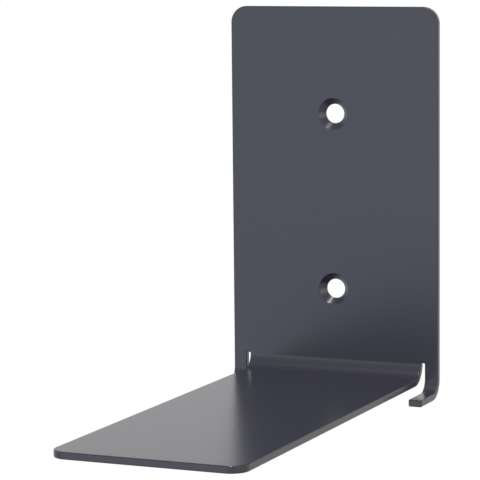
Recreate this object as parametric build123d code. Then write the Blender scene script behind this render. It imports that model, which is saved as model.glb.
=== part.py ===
from build123d import *
from math import radians, tan
import os

# A wall bracket that a pile of books hides: one folded steel sheet.
# The back plate is screwed to the wall, a broad tongue carries the books, and two narrow hooks
# below the tongue hold the lower cover of the lowest book, so that nothing of the bracket shows.
# Frame: origin at the middle of the two screw holes, on the plate's back face.
# +X to the right, +Y into the wall, +Z up. Everything in millimetres.

# The sheet and its finished edges
SHEET = 2.5  # thickness of the sheet
EDGE_ROUND = 0.4  # rounding of every cut edge under the coat
CORNER = 6.0  # radius of the plate's upper corners and of the tongue's front corners

# Back plate
PLATE_WIDTH = 80.0

# Screw holes
HOLE_SPACING = 64.0  # from one hole to the other, along Z
HOLE_DIAMETER = 7.0
UPPER_HOLE_MARGIN = 38.7  # from the upper hole to the plate's top
LOWER_HOLE_HEIGHT = 30.65  # from the tongue's upper face to the lower hole
SINK_LAND = 0.3  # straight wall left below the countersink
SINK_ANGLE = 90.0  # full angle of the countersink
SINK_LIP = 0.5  # rounding of the countersink's rim

# Tongue that carries the books
TONGUE_WIDTH = 67.0
TONGUE_LENGTH = 160.0  # from the plate's front face to the tongue's tip
TONGUE_BEND = 5.2  # inner radius of its fold

# Hooks that hold the lower cover of the lowest book
HOOK_LENGTH = 17.5  # from the plate's front face to a hook's tip
HOOK_BEND = 4.6  # inner radius of their fold
HOOK_CORNER = 0.8  # radius of a hook's front corners
COVER_GAP = 2.3  # free height between the tongue and the hooks

# Slots that part the hooks from the tongue
SLOT_WIDTH = 1.5
SLOT_OVERRUN = 0.1  # how far a slot runs up past the start of the tongue's fold
SLOT_CORNER = 0.4  # radius of a slot's two upper corners

# Heights and reaches that follow from those sizes
TONGUE_TOP = -HOLE_SPACING / 2 - LOWER_HOLE_HEIGHT
PLATE_TOP = HOLE_SPACING / 2 + UPPER_HOLE_MARGIN
HOOK_TOP = TONGUE_TOP - SHEET - COVER_GAP
SLOT_TOP = TONGUE_TOP + TONGUE_BEND + SLOT_OVERRUN
TONGUE_REACH = SHEET + TONGUE_LENGTH  # from the plate's back face, as is the hooks'
HOOK_REACH = SHEET + HOOK_LENGTH

# Widths that follow from those sizes
SLOT_CENTRE = (TONGUE_WIDTH + SLOT_WIDTH) / 2
HOOK_WIDTH = (PLATE_WIDTH - TONGUE_WIDTH) / 2 - SLOT_WIDTH
SINK_DEPTH = SHEET - SINK_LAND
SINK_DIAMETER = HOLE_DIAMETER + 2 * SINK_DEPTH * tan(radians(SINK_ANGLE / 2))


def folded_strip(width, centre, floor, reach, bend):
    """A strip of the sheet, from the plate's top down to a fold, and forward to its tip.

    Args:
        width: width of the strip along X.
        centre: place of its middle along X.
        floor: height of the upper face of the part that lies flat.
        reach: distance from the plate's back face to the tip.
        bend: inner radius of the fold.

    Returns:
        The strip as one solid.
    """
    side = Plane.YZ.offset(centre - width / 2)
    outer = bend + SHEET
    with BuildPart() as strip:
        with BuildSketch(side):
            with BuildLine():
                Polyline(
                    (-outer, floor - SHEET),
                    (-reach, floor - SHEET),
                    (-reach, floor),
                    (-outer, floor),
                )
                RadiusArc((-outer, floor), (-SHEET, floor + bend), -bend)
                Polyline(
                    (-SHEET, floor + bend),
                    (-SHEET, PLATE_TOP),
                    (0, PLATE_TOP),
                    (0, floor + bend),
                )
                RadiusArc((0, floor + bend), (-outer, floor - SHEET), outer)
            make_face()
        extrude(amount=width)
    return strip.part


def slot_cutter(centre):
    """A tall prism that frees a hook from the tongue, with its upper corners rounded.

    Args:
        centre: place of the slot's middle along X.

    Returns:
        The solid to cut away.
    """
    below = HOOK_TOP - SHEET - 1
    height = SLOT_TOP - below
    with BuildPart() as cutter:
        with BuildSketch(Plane.XZ.offset(-1)):
            with Locations((centre, SLOT_TOP - height / 2)):
                Rectangle(SLOT_WIDTH, height)
            fillet(vertices().group_by(Axis.Y)[-1], SLOT_CORNER)
        extrude(amount=TONGUE_REACH + 2)
    return cutter.part


def cut_blank():
    """The folded sheet with all its outlines, before its edges are rounded.

    Returns:
        The sheet as one solid.
    """
    split_width = 2 * SLOT_CENTRE
    side_width = (PLATE_WIDTH - split_width) / 2
    side_centre = (PLATE_WIDTH + split_width) / 4
    blank = folded_strip(split_width, 0, TONGUE_TOP, TONGUE_REACH, TONGUE_BEND)
    for side in (-1, 1):
        blank += folded_strip(side_width, side * side_centre, HOOK_TOP, HOOK_REACH, HOOK_BEND)
    for side in (-1, 1):
        blank -= slot_cutter(side * SLOT_CENTRE)

    across = blank.edges().filter_by(Axis.Y)
    plate_corners = across.group_by(Axis.Z)[-1]
    blank = fillet(plate_corners, CORNER)

    upright = blank.edges().filter_by(Axis.Z).filter_by(lambda edge: edge.length < SHEET + 0.01)
    tongue_corners = upright.group_by(Axis.Y)[0]
    blank = fillet(tongue_corners, CORNER)

    upright = blank.edges().filter_by(Axis.Z).filter_by(lambda edge: edge.length < SHEET + 0.01)
    hook_corners = upright.filter_by(lambda edge: abs(edge.center().Y + HOOK_REACH) < 0.01)
    blank = fillet(hook_corners, HOOK_CORNER)
    return blank


def is_skin(face):
    """Tell whether a face is part of the sheet's front or back skin, and not a cut edge's face."""
    normal = face.normal_at(face.center())
    middle = face.center()
    if abs(normal.X) > 0.01:
        return False
    if face.geom_type == GeomType.CYLINDER:
        return True
    if abs(normal.Y) > 0.99:
        return any(abs(middle.Y - level) < 0.01 for level in (0, -SHEET))
    levels = (TONGUE_TOP, TONGUE_TOP - SHEET, HOOK_TOP, HOOK_TOP - SHEET)
    return any(abs(middle.Z - level) < 0.01 for level in levels)


def round_cut_edges(blank):
    """Round every edge between a skin and a cut face, as tumbling and the coat leave it.

    Args:
        blank: the folded sheet with sharp edges.

    Returns:
        The sheet with its edges rounded.
    """
    borders = [edge for face in blank.faces() if is_skin(face) for edge in face.edges()]
    # A fold line lies between two skins, so it comes twice, and it stays as it is.
    cut = [edge for edge in borders if sum(edge.is_same(other) for other in borders) == 1]
    return fillet(cut, EDGE_ROUND)


def drill_screw_holes(sheet):
    """Cut the two countersunk screw holes, and round the rim of each countersink.

    Args:
        sheet: the folded sheet.

    Returns:
        The sheet with its holes.
    """
    with BuildPart() as drilled:
        add(sheet)
        with Locations(Plane.XZ.offset(SHEET)):
            with GridLocations(0, HOLE_SPACING, 1, 2):
                CounterSinkHole(HOLE_DIAMETER / 2, SINK_DIAMETER / 2, 2 * SHEET, SINK_ANGLE)
        circles = drilled.edges().filter_by(GeomType.CIRCLE)
        rims = circles.filter_by(lambda edge: abs(edge.radius - SINK_DIAMETER / 2) < 0.01)
        fillet(rims, SINK_LIP)
    return drilled.part


if __name__ == "__main__":
    os.makedirs("parts", exist_ok=True)
    shelf_bracket = drill_screw_holes(round_cut_edges(cut_blank()))
    shelf_bracket.label = "shelf_bracket"
    print("volume", round(shelf_bracket.volume), "mm3")
    print("hook width", HOOK_WIDTH, "mm, countersink", SINK_DIAMETER, "mm")
    print(shelf_bracket.bounding_box())
    export_step(shelf_bracket, "parts/shelf_bracket.step")
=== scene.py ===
"""Dress the hidden book bracket: a laser-cut steel blank, folded, with a satin anthracite coat.

The blank is laid out flat, with its outline, its slots, its screw holes and the rounding of every
cut edge. A Geometry Nodes tree then folds it by rule: the broad tongue along one bend line and the
two narrow hooks along another, a little lower. Everything is in metres, in the bracket's own frame:
+X to the right, +Y into the wall, +Z up, with the origin between the screw holes on the wall.
"""

import logging
from collections.abc import Callable, Sequence
from dataclasses import dataclass, field
from enum import Enum
from math import ceil, cos, hypot, pi, radians, sin, tan

import bpy
from mathutils import Matrix, Vector
from mathutils.geometry import delaunay_2d_cdt

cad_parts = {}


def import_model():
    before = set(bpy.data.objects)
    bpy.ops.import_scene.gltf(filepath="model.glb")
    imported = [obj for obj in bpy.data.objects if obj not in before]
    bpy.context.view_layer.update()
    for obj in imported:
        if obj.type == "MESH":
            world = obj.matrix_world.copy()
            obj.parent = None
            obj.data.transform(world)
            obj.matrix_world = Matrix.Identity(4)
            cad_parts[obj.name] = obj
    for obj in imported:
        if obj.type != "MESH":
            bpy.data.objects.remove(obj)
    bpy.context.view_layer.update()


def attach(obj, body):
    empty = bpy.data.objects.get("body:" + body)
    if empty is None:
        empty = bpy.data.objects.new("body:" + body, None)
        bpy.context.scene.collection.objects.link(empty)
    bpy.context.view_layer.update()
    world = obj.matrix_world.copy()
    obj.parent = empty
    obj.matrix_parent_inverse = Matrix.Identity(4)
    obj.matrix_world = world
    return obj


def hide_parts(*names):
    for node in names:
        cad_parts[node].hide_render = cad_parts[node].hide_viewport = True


log = logging.getLogger("bracket")

Colour = tuple[float, float, float]
Point2 = tuple[float, float]
Point3 = tuple[float, float, float]
Span = tuple[float, float]

MM = 0.001
QUARTER = pi / 2
SHEET = 2.5 * MM
SINK_TURN = QUARTER / 2  # from the front skin to the cone of a 90 degree countersink

# Attributes that the mesh carries to its coat
CUT_MARK = "cut_edge"
FLAT_PLACE = "flat_place"

# How finely a rounded corner of the outline is divided
LARGE_RADIUS = 2 * MM
LARGE_ARC_STEPS = 20
SMALL_ARC_STEPS = 6

# Dividing lengths and filling skins
MARK_SLACK = 0.02 * MM  # a mark nearer to an end than this is left out
COUNT_SLACK = 1e-6  # keeps a length of exactly n spacings at n parts
FILL_HULL = 0  # the whole hull is filled, and what lies outside the outline is dropped
SAME_POINT = 1e-9

NOISE_MIDDLE = 0.5
AREA_WEIGHT = 50  # how far large faces lead the shading, from 1 to 100


@dataclass(frozen=True)
class Value:
    """An output of a node, on which arithmetic is written as on a number."""

    graph: "Graph"
    socket: bpy.types.NodeSocket

    def __add__(self, other: "Value | float") -> "Value":
        """Return the sum."""
        return self.graph.math("ADD", self, other)

    def __sub__(self, other: "Value | float") -> "Value":
        """Return the difference."""
        return self.graph.math("SUBTRACT", self, other)

    def __rsub__(self, other: float) -> "Value":
        """Return a number less this value."""
        return self.graph.math("SUBTRACT", other, self)

    def __mul__(self, other: "Value | float") -> "Value":
        """Return the product."""
        return self.graph.math("MULTIPLY", self, other)

    def __truediv__(self, other: "Value | float") -> "Value":
        """Return the quotient."""
        return self.graph.math("DIVIDE", self, other)

    def __abs__(self) -> "Value":
        """Return the size without its sign."""
        return self.graph.math("ABSOLUTE", self)

    def below(self, other: "Value | float") -> "Value":
        """Return 1 where this value is the smaller one, and 0 elsewhere."""
        return self.graph.math("LESS_THAN", self, other)

    def at_least(self, other: "Value | float") -> "Value":
        """Return the greater of the two."""
        return self.graph.math("MAXIMUM", self, other)

    def at_most(self, other: "Value | float") -> "Value":
        """Return the smaller of the two."""
        return self.graph.math("MINIMUM", self, other)

    __radd__ = __add__
    __rmul__ = __mul__


class Graph:
    """A node tree that is being built, of a material, of the world or of a modifier."""

    def __init__(self, tree: bpy.types.NodeTree) -> None:
        """Start with an empty tree."""
        self.tree = tree
        tree.nodes.clear()

    def node(
        self,
        kind: str,
        settings: dict[str, object] | None = None,
        inputs: dict[str | int, object] | None = None,
    ) -> bpy.types.Node:
        """Add one node.

        Args:
            kind: the node's type.
            settings: the node's own properties, which are set first.
            inputs: a value, or an output to link, for each input by its name or place.

        Returns:
            The node.
        """
        node = self.tree.nodes.new(kind)
        for name, setting in (settings or {}).items():
            setattr(node, name, setting)
        for key, given in (inputs or {}).items():
            socket = self.pick(node.inputs, key)
            if isinstance(given, Value):
                self.tree.links.new(given.socket, socket)
            else:
                socket.default_value = given
        return node

    def output(self, node: bpy.types.Node, key: str | int = 0) -> Value:
        """Return one output of a node."""
        return Value(self, self.pick(node.outputs, key))

    def math(self, operation: str, *terms: "Value | float") -> Value:
        """Return what a Math node makes of its terms."""
        node = self.node("ShaderNodeMath", {"operation": operation}, dict(enumerate(terms)))
        return self.output(node)

    def ramp(self, value: Value, given: Span, made: Span) -> Value:
        """Return a smooth ramp over a value.

        Args:
            value: what the ramp follows.
            given: the values at which it starts and ends.
            made: what it makes of them, and of all beyond them.

        Returns:
            The ramp's value.
        """
        ends = {"From Min": given[0], "From Max": given[1], "To Min": made[0], "To Max": made[1]}
        node = self.node(
            "ShaderNodeMapRange", {"interpolation_type": "SMOOTHSTEP"}, {"Value": value, **ends}
        )
        return self.output(node, "Result")

    @staticmethod
    def pick(
        sockets: bpy.types.NodeInputs | bpy.types.NodeOutputs, key: str | int
    ) -> bpy.types.NodeSocket:
        """Find a socket.

        Args:
            sockets: a node's inputs or outputs.
            key: the name of the socket in use, or its place.

        Returns:
            The socket.
        """
        if isinstance(key, int):
            return sockets[key]
        return next(socket for socket in sockets if socket.name == key and socket.enabled)


@dataclass(frozen=True)
class OutlinePoint:
    """A point of the blank's cut outline and the direction that leads out of the sheet there."""

    place: Point2
    outward: Point2

    def inset(self, depth: float) -> Point2:
        """Return the place that lies this deep inside the outline."""
        return (
            self.place[0] - depth * self.outward[0],
            self.place[1] - depth * self.outward[1],
        )


class Turn(Enum):
    """Which way the outline turns at a corner, for one that has the sheet on its left."""

    OUTER = 1
    INNER = -1


@dataclass(frozen=True)
class Corner:
    """A rounded corner of the outline, with both its sides along X or Z."""

    place: Point2
    radius: float
    turn: Turn = Turn.OUTER

    @property
    def steps(self) -> int:
        """Return how many straight pieces the corner's arc has."""
        return LARGE_ARC_STEPS if self.radius > LARGE_RADIUS else SMALL_ARC_STEPS

    def points(self, before: Point2, after: Point2) -> list[OutlinePoint]:
        """Return the corner's arc.

        Args:
            before: the corner that comes before this one.
            after: the corner that comes after it.

        Returns:
            The arc's points, from its start to its end.
        """
        into = Vector(self.place) - Vector(before)
        away = Vector(after) - Vector(self.place)
        into.normalize()
        away.normalize()
        side = self.turn.value
        centre = Vector(self.place) - self.radius * into + self.radius * away
        arc = []
        for step in range(self.steps + 1):
            angle = QUARTER * step / self.steps
            spoke = side * (-cos(angle) * away + sin(angle) * into)
            place = centre + side * self.radius * spoke
            arc.append(OutlinePoint(tuple(place), tuple(spoke)))
        return arc


@dataclass(frozen=True)
class Fold:
    """One bend line of the sheet, and the strip that it turns forward."""

    floor: float
    bend: float
    reach: float
    sheet: float = SHEET
    steps: int = 24

    @property
    def start(self) -> float:
        """Return the height at which the sheet leaves the plate's plane."""
        return self.floor + self.bend

    @property
    def middle(self) -> float:
        """Return the bend's radius halfway through the sheet, where its length stays."""
        return self.bend + self.sheet / 2

    @property
    def end(self) -> float:
        """Return the height, on the flat blank, at which the bend ends."""
        return self.start - self.middle * QUARTER

    @property
    def tip(self) -> float:
        """Return the height, on the flat blank, of the strip's tip."""
        return self.end - (self.reach - self.sheet - self.bend)

    def rows(self) -> list[float]:
        """Return the heights, on the flat blank, at which the bend has its steps."""
        drop = (self.start - self.end) / self.steps
        return [self.start - drop * step for step in range(self.steps + 1)]


@dataclass(frozen=True)
class Countersink:
    """A screw hole with its cone, as rings of one radius and depth each, from front to back."""

    height: float
    hole: float = 3.5 * MM
    rim: float = 5.7 * MM
    lip: float = 0.5 * MM
    grooves: int = 4
    groove_depth: float = 0.008 * MM
    coat_round: float = 0.05 * MM
    around: int = 96
    lip_steps: int = 5
    knee_steps: int = 3
    groove_steps: int = 8

    @property
    def mouth(self) -> float:
        """Return the radius at which the lip starts, on the front skin."""
        return self.rim + self.lip * tan(SINK_TURN / 2)

    @property
    def back_mouth(self) -> float:
        """Return the radius at which the hole starts, on the back skin."""
        return self.hole + self.coat_round

    def profile(self, sheet: float) -> list[Point2]:
        """Return the radius and depth of each ring.

        Args:
            sheet: the thickness of the sheet.

        Returns:
            The rings, from the front skin through the lip, cone and land to the back skin.
        """
        rings = []
        for step in range(self.lip_steps + 1):
            angle = SINK_TURN * step / self.lip_steps
            radius = self.mouth - self.lip * sin(angle)
            rings.append((radius, self.lip * (1 - cos(angle))))
        knee = self.coat_round * tan(SINK_TURN / 2)
        land_start = self.rim - self.hole + knee
        bottom = []
        for step in range(self.knee_steps + 1):
            angle = SINK_TURN * (1 - step / self.knee_steps)
            radius = self.hole + self.coat_round * (1 - cos(angle))
            bottom.append((radius, land_start - self.coat_round * sin(angle)))
        rings += self.cone(rings[-1], bottom[0]) + bottom
        for step in range(self.knee_steps + 1):
            angle = QUARTER * step / self.knee_steps
            radius = self.hole + self.coat_round * (1 - cos(angle))
            rings.append((radius, sheet - self.coat_round * (1 - sin(angle))))
        return rings

    def cone(self, start: Point2, end: Point2) -> list[Point2]:
        """Return the cone's rings, with the shallow grooves that the drill leaves.

        Args:
            start: radius and depth where the lip ends.
            end: radius and depth where the land begins.

        Returns:
            The rings between the two.
        """
        inward, deeper = end[0] - start[0], end[1] - start[1]
        slant = hypot(inward, deeper)
        rings = []
        steps = self.groove_steps * self.grooves
        for step in range(1, steps):
            share = step / steps
            sunk = self.groove_depth * (1 - cos(2 * pi * self.grooves * share)) / 2
            radius = start[0] + inward * share + sunk * deeper / slant
            rings.append((radius, start[1] + deeper * share - sunk * inward / slant))
        return rings

    def ring(self, radius: float) -> list[Point2]:
        """Return a circle around the hole, as places on the flat blank."""
        turns = [2 * pi * step / self.around for step in range(self.around)]
        return [(radius * cos(turn), self.height + radius * sin(turn)) for turn in turns]


@dataclass
class SheetMesh:
    """The points and faces of the blank while they are gathered."""

    sheet: float
    points: list[Point3] = field(default_factory=list)
    cut: list[float] = field(default_factory=list)
    faces: list[tuple[int, ...]] = field(default_factory=list)

    def ring(self, places: Sequence[Point2], depth: float, cut: float) -> list[int]:
        """Add a row of points.

        Args:
            places: where they lie on the flat blank.
            depth: how deep they lie below the front skin.
            cut: 1 on a cut face and 0 on a skin.

        Returns:
            The points' numbers.
        """
        first = len(self.points)
        self.points += [(x, depth - self.sheet, z) for x, z in places]
        self.cut += [cut] * len(places)
        return list(range(first, len(self.points)))

    def bands(self, rows: list[list[int]]) -> None:
        """Join closed rows, each to the next, with bands of quads.

        Args:
            rows: the rows, from front to back, with the sheet's outside on their right.
        """
        for front, back in zip(rows, rows[1:]):
            for index, (a, d) in enumerate(zip(front, back)):
                following = (index + 1) % len(front)
                self.faces.append((a, d, back[following], front[following]))

    @staticmethod
    def closed_lines(loops: list[list[int]]) -> list[tuple[int, int]]:
        """Return the lines that close each loop.

        Args:
            loops: the points of each loop.

        Returns:
            The two ends of each line, counted through all the loops.
        """
        lines = []
        first = 0
        for loop in loops:
            last = first + len(loop)
            lines += [(i, i + 1 if i + 1 < last else first) for i in range(first, last)]
            first = last
        return lines

    def skin(
        self,
        loops: list[list[int]],
        rows: list[list[Point2]],
        inner: list[Point2],
        depth: float,
        is_open: Callable[[Point2], bool],
    ) -> None:
        """Fill a skin between its outline and its holes with triangles.

        Args:
            loops: the outline's points, and then those of each hole.
            rows: lines across the skin that its triangles keep, from one outline point to another.
            inner: places inside it where the triangles meet too.
            depth: how deep the skin lies below the front one.
            is_open: tells whether a place lies in a hole.
        """
        numbers = [number for loop in loops for number in loop]
        places = [(self.points[n][0], self.points[n][2]) for n in numbers]
        lines = self.closed_lines(loops)
        rim = [Vector(place) for place in places[: len(loops[0])]]
        for row in rows:
            ends = [
                min(range(len(rim)), key=lambda index: (rim[index] - Vector(end)).length_squared)
                for end in (row[0], row[-1])
            ]
            middle = list(range(len(places), len(places) + len(row) - 2))
            places += row[1:-1]
            chain = [ends[0], *middle, ends[1]]
            lines += list(zip(chain, chain[1:]))
        places += inner
        outline = list(range(len(loops[0])))
        corners, _, triangles, origins, _, face_origins = delaunay_2d_cdt(
            [Vector(place) for place in places], lines, [outline], FILL_HULL, SAME_POINT
        )
        known = {}
        for index, origin in enumerate(origins):
            number = next((numbers[o] for o in origin if o < len(numbers)), None)
            if number is None:
                number = self.ring([tuple(corners[index])], depth, 0.0)[0]
            known[index] = number
        for triangle, origin in zip(triangles, face_origins):
            middle = sum((corners[c] for c in triangle), Vector((0, 0))) / 3
            if not origin or is_open(tuple(middle)):
                continue
            face = tuple(known[c] for c in triangle)
            self.faces.append(face if depth == 0 else face[::-1])

    def finished(self, name: str) -> bpy.types.Mesh:
        """Make one smooth mesh of the gathered points and faces.

        Args:
            name: the mesh's name.

        Returns:
            The mesh.
        """
        mesh = bpy.data.meshes.new(name)
        mesh.from_pydata(self.points, [], self.faces)
        mesh.shade_smooth()
        marks = mesh.attributes.new(CUT_MARK, "FLOAT", "POINT")
        marks.data.foreach_set("value", self.cut)
        mesh.validate()
        return mesh


@dataclass(frozen=True)
class Blank:
    """The laser-cut steel sheet before it is folded, seen from the front."""

    sheet: float = SHEET
    edge_round: float = 0.4 * MM
    round_steps: int = 4
    corner: float = 6.0 * MM
    plate_width: float = 80.0 * MM
    plate_top: float = 70.7 * MM
    tongue_width: float = 67.0 * MM
    slot_width: float = 1.5 * MM
    slot_top: float = -57.35 * MM
    slot_corner: float = 0.4 * MM
    hook_corner: float = 0.8 * MM
    spacing: float = 6.0 * MM
    sink_clear: float = 2.0 * MM
    tongue: Fold = Fold(floor=-62.65 * MM, bend=5.2 * MM, reach=162.5 * MM)
    hook: Fold = Fold(floor=-67.45 * MM, bend=4.6 * MM, reach=20.0 * MM)
    holes: tuple[Countersink, ...] = (Countersink(32.0 * MM), Countersink(-32.0 * MM))

    @property
    def slot_centre(self) -> float:
        """Return how far a slot's middle lies from the blank's."""
        return (self.tongue_width + self.slot_width) / 2

    @property
    def slot_outside(self) -> float:
        """Return how far a hook's inner side lies from the blank's middle."""
        return self.tongue_width / 2 + self.slot_width

    def corners(self) -> list[Corner]:
        """Return the outline's corners.

        Returns:
            The corners, with the sheet on their left, from the right one of the tongue's tip.
        """
        tongue = self.tongue_width / 2
        outside = self.slot_outside
        edge = self.plate_width / 2
        right = [
            Corner((tongue, self.tongue.tip), self.corner),
            Corner((tongue, self.slot_top), self.slot_corner, Turn.INNER),
            Corner((outside, self.slot_top), self.slot_corner, Turn.INNER),
            Corner((outside, self.hook.tip), self.hook_corner),
            Corner((edge, self.hook.tip), self.hook_corner),
            Corner((edge, self.plate_top), self.corner),
        ]
        left = [
            Corner((-corner.place[0], corner.place[1]), corner.radius, corner.turn)
            for corner in reversed(right)
        ]
        return right + left

    def outline(self) -> list[OutlinePoint]:
        """Return the whole outline.

        Returns:
            Its points, with one wherever a bend's step crosses it.
        """
        corners = self.corners()
        points: list[OutlinePoint] = []
        for index, corner in enumerate(corners):
            before = corners[index - 1].place
            after = corners[(index + 1) % len(corners)].place
            arc = corner.points(before, after)
            if points:
                points += self.side(points[-1], arc[0])
            points += arc
        points += self.side(points[-1], points[0])
        return points

    def side(self, start: OutlinePoint, end: OutlinePoint) -> list[OutlinePoint]:
        """Return the points between two corners, whose side lies along X or Z.

        Args:
            start: the last point of the corner before.
            end: the first point of the corner after.

        Returns:
            The points between the two.
        """
        (x, z), (end_x, end_z) = start.place, end.place
        upright = abs(x - end_x) < abs(z - end_z)
        if not upright:
            marks = self.marks(x, end_x, [])
            return [OutlinePoint((mark, z), start.outward) for mark in marks]
        fold = self.tongue if abs(x) < self.slot_centre else self.hook
        marks = self.marks(z, end_z, fold.rows())
        return [OutlinePoint((x, mark), start.outward) for mark in marks]

    def marks(self, start: float, end: float, fixed: list[float]) -> list[float]:
        """Divide a length evenly between the fixed marks.

        Args:
            start: where it starts.
            end: where it ends.
            fixed: places that have a mark in any case, where they lie within it.

        Returns:
            The marks between start and end, in their order.
        """
        low, high = min(start, end), max(start, end)
        within = sorted(m for m in fixed if low + MARK_SLACK < m < high - MARK_SLACK)
        stops = [low, *within, high]
        marks: list[float] = []
        for a, b in zip(stops, stops[1:]):
            parts = max(1, ceil((b - a) / self.spacing - COUNT_SLACK))
            marks += [a + (b - a) * part / parts for part in range(1, parts)] + [b]
        marks = marks[:-1]
        return marks if start < end else marks[::-1]

    def rows(self, depth: float) -> list[list[Point2]]:
        """Return the lines across the tongue and the hooks at each step of their bends.

        Args:
            depth: how far the skin's outline lies inside the cut outline.

        Returns:
            The lines, as places on the flat blank.
        """
        tongue = self.tongue_width / 2 - depth
        inside, outside = self.slot_outside + depth, self.plate_width / 2 - depth
        strips = [
            (self.tongue, -tongue, tongue),
            (self.hook, inside, outside),
            (self.hook, -outside, -inside),
        ]
        rows = []
        for fold, left, right in strips:
            marks = [left, *self.marks(left, right, []), right]
            rows += [[(x, z) for x in marks] for z in fold.rows()]
        return rows

    def inner_places(self) -> list[Point2]:
        """Return places all over the flat parts, so that their triangles stay compact.

        Returns:
            The places, clear of the countersinks and the large corners.
        """
        margin = self.spacing / 2
        plate = self.grid(self.plate_width, self.tongue.start, self.plate_top, margin)
        tongue = self.grid(self.tongue_width, self.tongue.tip, self.tongue.end, margin)
        clear = [hole.rim + self.sink_clear for hole in self.holes]
        free = [
            (x, z)
            for x, z in plate
            if all(hypot(x, z - hole.height) > c for hole, c in zip(self.holes, clear))
        ]
        return free + tongue

    def grid(self, width: float, low: float, high: float, margin: float) -> list[Point2]:
        """Return an even grid of places within a rectangle that is centred across.

        Args:
            width: the rectangle's width.
            low: the height at which it starts.
            high: the height at which it ends.
            margin: how far the places stay from both heights.

        Returns:
            The places.
        """
        across = self.marks(-width / 2, width / 2, [])
        upward = self.marks(low, high, [])
        return [
            (x, z)
            for z in upward
            for x in across
            if low + margin < z < high - margin and self.is_clear_of_corners(x, z)
        ]

    def is_clear_of_corners(self, x: float, z: float) -> bool:
        """Tell whether a place lies clear of the blank's large rounded corners.

        Args:
            x: how far the place lies to the right.
            z: its height.

        Returns:
            Whether it lies clear of them.
        """
        near_top = z > self.plate_top - self.corner and abs(x) > self.plate_width / 2 - self.corner
        tongue_side = self.tongue_width / 2 - self.corner
        near_tip = z < self.tongue.tip + self.corner and abs(x) > tongue_side
        return not (near_top or near_tip)

    def is_hole(self, place: Point2) -> bool:
        """Tell whether a place on the back skin lies within a screw hole."""
        x, z = place
        return any(hypot(x, z - hole.height) < hole.back_mouth for hole in self.holes)

    def is_sink(self, place: Point2) -> bool:
        """Tell whether a place on the front skin lies within a countersink."""
        x, z = place
        return any(hypot(x, z - hole.height) < hole.mouth for hole in self.holes)

    def mesh(self) -> bpy.types.Mesh:
        """Make the flat blank.

        Returns:
            A closed mesh, standing in the plate's plane.
        """
        gathered = SheetMesh(self.sheet)
        edge = self.cut_edge(gathered)
        front_loops, back_loops = [edge[0]], [edge[-1]]
        for hole in self.holes:
            rings = [
                gathered.ring(hole.ring(radius)[::-1], depth, 0.0)
                for radius, depth in hole.profile(self.sheet)
            ]
            gathered.bands(rings)
            front_loops.append(rings[0])
            back_loops.append(rings[-1])

        rows = self.rows(self.edge_round)
        inner = self.inner_places()
        gathered.skin(front_loops, rows, inner, 0, self.is_sink)
        gathered.skin(back_loops, rows, inner, self.sheet, self.is_hole)
        return gathered.finished("folded_bracket")

    def cut_edge(self, gathered: SheetMesh) -> list[list[int]]:
        """Add the cut edge all round, rounded where it meets each skin.

        Args:
            gathered: the mesh that it is added to.

        Returns:
            The edge's rows of points, from the front skin to the back one.
        """
        outline = self.outline()
        turns = [QUARTER * step / self.round_steps for step in range(self.round_steps + 1)]
        rounding = [
            (self.edge_round * (1 - sin(turn)), self.edge_round * (1 - cos(turn)))
            for turn in turns
        ]
        mirrored = [(inset, self.sheet - depth) for inset, depth in reversed(rounding)]
        rows = []
        for inset, depth in rounding + mirrored:
            places = [point.inset(inset) for point in outline]
            rows.append(gathered.ring(places, depth, 1.0 if inset == 0 else 0.0))
        gathered.bands(rows)
        return rows


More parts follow.
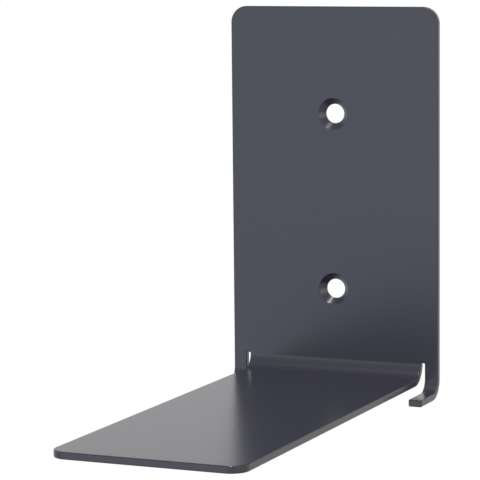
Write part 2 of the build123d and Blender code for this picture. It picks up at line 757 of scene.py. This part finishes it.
class FoldingTree:
    """The Geometry Nodes tree that folds the flat blank along its two bend lines."""

    SIZES = (
        "Sheet",
        "Slot centre",
        "Tongue fold height",
        "Tongue bend",
        "Hook fold height",
        "Hook bend",
    )

    def __init__(self) -> None:
        """Build the tree."""
        self.tree = bpy.data.node_groups.new("fold_the_blank", "GeometryNodeTree")
        faces = self.tree.interface
        faces.new_socket("Blank", in_out="INPUT", socket_type="NodeSocketGeometry")
        for name in self.SIZES:
            faces.new_socket(name, in_out="INPUT", socket_type="NodeSocketFloat")
        faces.new_socket("Coat", in_out="INPUT", socket_type="NodeSocketMaterial")
        faces.new_socket("Bracket", in_out="OUTPUT", socket_type="NodeSocketGeometry")
        self.graph = Graph(self.tree)
        self.build()

    def build(self) -> None:
        """Add the nodes that bend each point round its fold's axis."""
        graph = self.graph
        given = graph.node("NodeGroupInput")
        sheet = graph.output(given, "Sheet")
        place = graph.output(graph.node("GeometryNodeInputPosition"))
        parts = graph.node("ShaderNodeSeparateXYZ", inputs={"Vector": place})
        x, y, z = (graph.output(parts, axis) for axis in "XYZ")

        on_tongue = abs(x).below(graph.output(given, "Slot centre"))
        start = self.choose(given, on_tongue, "fold height")
        bend = self.choose(given, on_tongue, "bend")

        middle = bend + sheet / 2
        drop = (start - z).at_least(0)
        above = (z - start).at_least(0)
        angle = (drop / middle).at_most(QUARTER)
        run = (drop - middle * QUARTER).at_least(0)
        radius = bend + sheet + y
        forward = radius * graph.math("COSINE", angle) - sheet - bend - run
        upward = start + above - radius * graph.math("SINE", angle)
        folded = graph.node("ShaderNodeCombineXYZ", inputs={"X": x, "Y": forward, "Z": upward})

        kept = graph.node(
            "GeometryNodeStoreNamedAttribute",
            {"data_type": "FLOAT_VECTOR", "domain": "POINT"},
            {"Geometry": graph.output(given, "Blank"), "Name": FLAT_PLACE, "Value": place},
        )
        moved = graph.node(
            "GeometryNodeSetPosition",
            inputs={"Geometry": graph.output(kept), "Position": graph.output(folded)},
        )
        real = graph.node(
            "GeometryNodeRealizeInstances", inputs={"Geometry": graph.output(moved)}
        )
        coated = graph.node(
            "GeometryNodeSetMaterial",
            inputs={"Geometry": graph.output(real), "Material": graph.output(given, "Coat")},
        )
        graph.node("NodeGroupOutput", inputs={"Bracket": graph.output(coated)})

    def choose(self, given: bpy.types.Node, on_tongue: Value, what: str) -> Value:
        """Choose between the tongue's size and the hooks'.

        Args:
            given: the tree's inputs.
            on_tongue: 1 where a point is on the tongue, and 0 elsewhere.
            what: the size's name, after the part's.

        Returns:
            The size that applies to the point.
        """
        tongue = self.graph.output(given, "Tongue " + what)
        hook = self.graph.output(given, "Hook " + what)
        return hook + (tongue - hook) * on_tongue

    def fold(self, piece: bpy.types.Object, blank: Blank, coat: bpy.types.Material) -> None:
        """Put the tree on a flat blank, with that blank's sizes.

        Args:
            piece: the object that holds the blank's mesh.
            blank: the sizes.
            coat: the material of the finished bracket.
        """
        sizes = {
            "Sheet": blank.sheet,
            "Slot centre": blank.slot_centre,
            "Tongue fold height": blank.tongue.start,
            "Tongue bend": blank.tongue.bend,
            "Hook fold height": blank.hook.start,
            "Hook bend": blank.hook.bend,
            "Coat": coat,
        }
        modifier = piece.modifiers.new("fold", "NODES")
        modifier.node_group = self.tree
        for item in self.tree.interface.items_tree:
            if item.name in sizes:
                modifier[item.identifier] = sizes[item.name]


@dataclass(frozen=True)
class SatinCoat:
    """A satin anthracite powder coat, with its fine grain and a thinner film along cut edges, whose
    lighter colour there is partly painted sheen.
    """

    name: str = "satin_anthracite_coat"
    colour: Colour = (0.0425, 0.042, 0.0592)
    deeper: Colour = (0.038, 0.0375, 0.053)
    # lighter on cut faces: partly a thinner coat film there, partly a painted sheen
    edge_film_and_sheen: Colour = (0.046, 0.0455, 0.058)
    roughness: float = 0.25
    roughness_spread: float = 0.02
    cut_roughness: float = 0.28
    ior: float = 1.42
    peel_size: float = 1.4 * MM
    peel_height: float = 0.0015 * MM
    cloud_size: float = 22.0 * MM
    cloud_share: float = 0.5
    grain_size: float = 0.35 * MM
    grain_height: float = 0.0002 * MM
    cut_line: float = 0.45 * MM
    cut_line_height: float = 0.003 * MM

    def material(self) -> bpy.types.Material:
        """Make the coat.

        Returns:
            The material.
        """
        coat = bpy.data.materials.new(self.name)
        coat.use_nodes = True
        graph = Graph(coat.node_tree)
        place = graph.output(graph.node("ShaderNodeTexCoord"), "Object")
        flat = graph.output(
            graph.node("ShaderNodeAttribute", {"attribute_name": FLAT_PLACE}), "Vector"
        )
        cut = graph.output(graph.node("ShaderNodeAttribute", {"attribute_name": CUT_MARK}), "Fac")

        peel = self.noise(graph, place, self.peel_size, 2)
        grain = self.noise(graph, place, self.grain_size, 1)
        cloud = self.noise(graph, place, self.cloud_size, 2)
        across = graph.node(
            "ShaderNodeVectorMath",
            {"operation": "MULTIPLY"},
            {0: flat, 1: (1.0, 0.0, 1.0)},
        )
        lines = self.noise(graph, graph.output(across), self.cut_line, 1)

        swell = self.cloud_share * cloud + (1 - self.cloud_share) * peel
        mixed = graph.node(
            "ShaderNodeMix",
            {"data_type": "RGBA"},
            {"Factor": swell, "A": (*self.deeper, 1), "B": (*self.colour, 1)},
        )
        # cut faces take the lighter edge colour: partly a thinner film, partly a painted sheen
        film_and_sheen_edged = graph.node(
            "ShaderNodeMix",
            {"data_type": "RGBA"},
            {"Factor": cut, "A": graph.output(mixed, "Result"), "B": (*self.edge_film_and_sheen, 1)},
        )
        rougher = self.cut_roughness - self.roughness
        uneven = (peel - NOISE_MIDDLE) * self.roughness_spread
        roughness = self.roughness + uneven + cut * rougher
        height = (
            peel * self.peel_height
            + grain * self.grain_height
            + lines * cut * self.cut_line_height
        )
        bump = graph.node(
            "ShaderNodeBump", inputs={"Strength": 1.0, "Distance": 1.0, "Height": height}
        )
        surface = graph.node(
            "ShaderNodeBsdfPrincipled",
            inputs={
                "Base Color": graph.output(film_and_sheen_edged, "Result"),
                "Roughness": roughness,
                "IOR": self.ior,
                "Normal": graph.output(bump),
            },
        )
        graph.node("ShaderNodeOutputMaterial", inputs={"Surface": graph.output(surface)})
        return coat

    @staticmethod
    def noise(graph: Graph, place: Value, size: float, detail: float) -> Value:
        """Return a soft random pattern.

        Args:
            graph: the tree that it is added to.
            place: the coordinates that it follows.
            size: how far its swells lie apart.
            detail: how many finer octaves it has.

        Returns:
            The pattern, from 0 to 1.
        """
        node = graph.node(
            "ShaderNodeTexNoise",
            inputs={"Vector": place, "Scale": 1 / size, "Detail": detail, "Roughness": 0.5},
        )
        return graph.output(node, "Fac")


@dataclass
class FoldedBracket:
    """The bracket in one piece: plate, tongue and hooks, from one folded blank."""

    blank: Blank = field(default_factory=Blank)
    coat: SatinCoat = field(default_factory=SatinCoat)
    node: str = "shelf_bracket"
    slot: str = "coat"

    def build(self) -> bpy.types.Object:
        """Return the finished bracket in place of the plain one.

        Returns:
            The bracket as a plain mesh object, riding on the frame's one body.
        """
        flat = bpy.data.objects.new("flat_blank", self.blank.mesh())
        bpy.context.scene.collection.objects.link(flat)
        FoldingTree().fold(flat, self.blank, self.coat.material())
        shading = flat.modifiers.new("even_shading", "WEIGHTED_NORMAL")
        shading.mode = "FACE_AREA"
        shading.weight = AREA_WEIGHT
        piece = self.plain(flat, "folded_bracket")
        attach(piece, "root")
        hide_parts(self.node)
        return piece

    @staticmethod
    def plain(source: bpy.types.Object, name: str) -> bpy.types.Object:
        """Turn an object with its modifiers into a plain mesh object.

        Args:
            source: the object, which is removed.
            name: the name of the plain one and of its mesh.

        Returns:
            The plain object.
        """
        ready = source.evaluated_get(bpy.context.evaluated_depsgraph_get())
        mesh = bpy.data.meshes.new_from_object(ready)
        piece = bpy.data.objects.new(name, mesh)
        bpy.context.scene.collection.objects.link(piece)
        bpy.data.objects.remove(source)
        mesh.name = name
        return piece


@dataclass(frozen=True)
class SoftLamp:
    """A soft lamp that faces the bracket, with its glow measured against white, which is 1."""

    name: str
    place: Point3
    width: float
    height: float
    glow: float
    colour: Colour = (1.0, 1.0, 1.0)

    def build(self) -> None:
        """Hang the lamp."""
        light = bpy.data.lights.new(self.name, "AREA")
        light.shape = "RECTANGLE"
        light.size = self.width
        light.size_y = self.height
        light.energy = self.glow * pi * self.width * self.height
        light.color = self.colour
        lamp = bpy.data.objects.new(self.name, light)
        bpy.context.scene.collection.objects.link(lamp)
        lamp.location = self.place
        lamp.rotation_euler = Vector(self.place).to_track_quat("Z", "Y").to_euler()


@dataclass(frozen=True)
class StudioCamera:
    """The camera, standing to the right of the bracket and a little above it."""

    place: Point3 = (0.3361, -0.8454, 0.10257)
    lens: float = 188.478
    sensor: float = 36.0
    turned_left: float = 23.8912
    tilted_down: float = 7.3013
    rolled: float = -0.5696
    near_clip: float = 0.01

    def build(self) -> None:
        """Set the camera up, and make it the scene's."""
        turn, tilt, roll = (radians(a) for a in (self.turned_left, self.tilted_down, self.rolled))
        ahead = Vector((-sin(turn) * cos(tilt), cos(turn) * cos(tilt), -sin(tilt)))
        level = Vector((cos(turn), sin(turn), 0))
        upright = level.cross(ahead)
        right = cos(roll) * level + sin(roll) * upright
        up = -sin(roll) * level + cos(roll) * upright
        lens = bpy.data.cameras.new("studio_camera")
        lens.lens = self.lens
        lens.sensor_width = self.sensor
        lens.clip_start = self.near_clip
        camera = bpy.data.objects.new("studio_camera", lens)
        bpy.context.scene.collection.objects.link(camera)
        turned = Matrix((right, up, -ahead)).transposed().to_4x4()
        camera.matrix_world = Matrix.Translation(self.place) @ turned
        bpy.context.scene.camera = camera


@dataclass(frozen=True)
class Studio:
    """A plain pale floor, soft lamps and a white surround."""

    floor_height: float = -0.50
    floor_side: float = 6.0
    floor_tone: float = 0.8
    floor_fade: Span = (0.4, 0.8)
    floor_white: Span = (0.85, 1.0)
    surround: float = 0.23
    sky_rise: Span = (0.2, 0.9)
    sky_white: Span = (1.0, 0.4)
    lamps: tuple[SoftLamp, ...] = (
        SoftLamp("top_lamp", (0.07, -0.44, 0.90), 0.2, 0.2, 67.0),
        SoftLamp("right_lamp", (0.83, -0.51, 0.12), 0.3, 0.5, 3.5),
        SoftLamp("left_fill", (-0.41, -1.12, -0.145), 1.0, 0.6, 1.15, (0.69, 0.82, 1.0)),
    )
    camera: StudioCamera = StudioCamera()

    def build(self) -> None:
        """Lay the floor, light it and set the camera up."""
        self.lay_floor()
        self.light_surround()
        for lamp in self.lamps:
            lamp.build()
        self.camera.build()
        bpy.context.scene.view_settings.view_transform = "Standard"

    def lay_floor(self) -> None:
        """Lay the pale floor below the bracket."""
        half = self.floor_side / 2
        corners = [(-half, -half), (half, -half), (half, half), (-half, half)]
        mesh = bpy.data.meshes.new("pale_floor")
        mesh.from_pydata([(x, y, self.floor_height) for x, y in corners], [], [(0, 1, 2, 3)])
        floor = bpy.data.objects.new("pale_floor", mesh)
        bpy.context.scene.collection.objects.link(floor)
        mesh.materials.append(self.floor_paint())

    def floor_paint(self) -> bpy.types.Material:
        """Make the floor's paint, which shows as white and still takes the bracket's shadow.

        Returns:
            The material.
        """
        paint = bpy.data.materials.new("pale_floor_paint")
        paint.use_nodes = True
        graph = Graph(paint.node_tree)
        tone = (self.floor_tone,) * 3
        lit = graph.node("ShaderNodeBsdfDiffuse", inputs={"Color": (*tone, 1)})
        white = graph.node("ShaderNodeEmission", inputs={"Color": (1, 1, 1, 1), "Strength": 1.0})
        place = graph.output(graph.node("ShaderNodeTexCoord"), "Object")
        away = graph.output(
            graph.node("ShaderNodeVectorMath", {"operation": "LENGTH"}, {0: place}), "Value"
        )
        seen = self.is_seen(graph, graph.node("ShaderNodeLightPath"))
        whiteness = seen * graph.ramp(away, self.floor_fade, self.floor_white)
        mixed = graph.node(
            "ShaderNodeMixShader",
            inputs={0: whiteness, 1: graph.output(lit), 2: graph.output(white)},
        )
        below = graph.output(graph.node("ShaderNodeNewGeometry"), "Backfacing")
        clear = graph.node("ShaderNodeBsdfTransparent")
        sided = graph.node(
            "ShaderNodeMixShader",
            inputs={0: below, 1: graph.output(mixed), 2: graph.output(clear)},
        )
        graph.node("ShaderNodeOutputMaterial", inputs={"Surface": graph.output(sided)})
        return paint

    def light_surround(self) -> None:
        """Make the surround white to look at and plain in the light that it gives."""
        world = bpy.data.worlds.new("white_surround")
        bpy.context.scene.world = world
        world.use_nodes = True
        graph = Graph(world.node_tree)
        direction = graph.output(graph.node("ShaderNodeTexCoord"), "Generated")
        height = graph.output(
            graph.node("ShaderNodeSeparateXYZ", inputs={"Vector": direction}), "Z"
        )
        dimming = graph.ramp(height, self.sky_rise, self.sky_white)
        path = graph.node("ShaderNodeLightPath")
        seen = self.is_seen(graph, path)
        straight = graph.output(path, "Is Camera Ray")
        lit = (self.surround + seen * (1 - self.surround)) * dimming
        strength = lit + (1 - lit) * straight
        light = graph.node(
            "ShaderNodeBackground", inputs={"Color": (1, 1, 1, 1), "Strength": strength}
        )
        graph.node("ShaderNodeOutputWorld", inputs={"Surface": graph.output(light)})

    @staticmethod
    def is_seen(graph: Graph, path: bpy.types.Node) -> Value:
        """Tell what the camera sees from what only lights the bracket.

        Args:
            graph: the tree that it is added to.
            path: its Light Path node.

        Returns:
            1 for what is seen straight, in a gloss or through glass, and 0 elsewhere.
        """
        kinds = ("Camera", "Glossy", "Transmission")
        straight, glossy, through = (graph.output(path, f"Is {kind} Ray") for kind in kinds)
        return straight.at_least(glossy).at_least(through)


def main() -> None:
    """Build the bracket and its studio, and report each piece."""
    logging.basicConfig(level=logging.INFO, format="%(name)s: %(message)s")
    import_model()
    bracket = FoldedBracket().build()
    log.info("%s has %d faces", bracket.name, len(bracket.data.polygons))
    Studio().build()
    log.info("the studio stands")


if __name__ == "__main__":
    main()
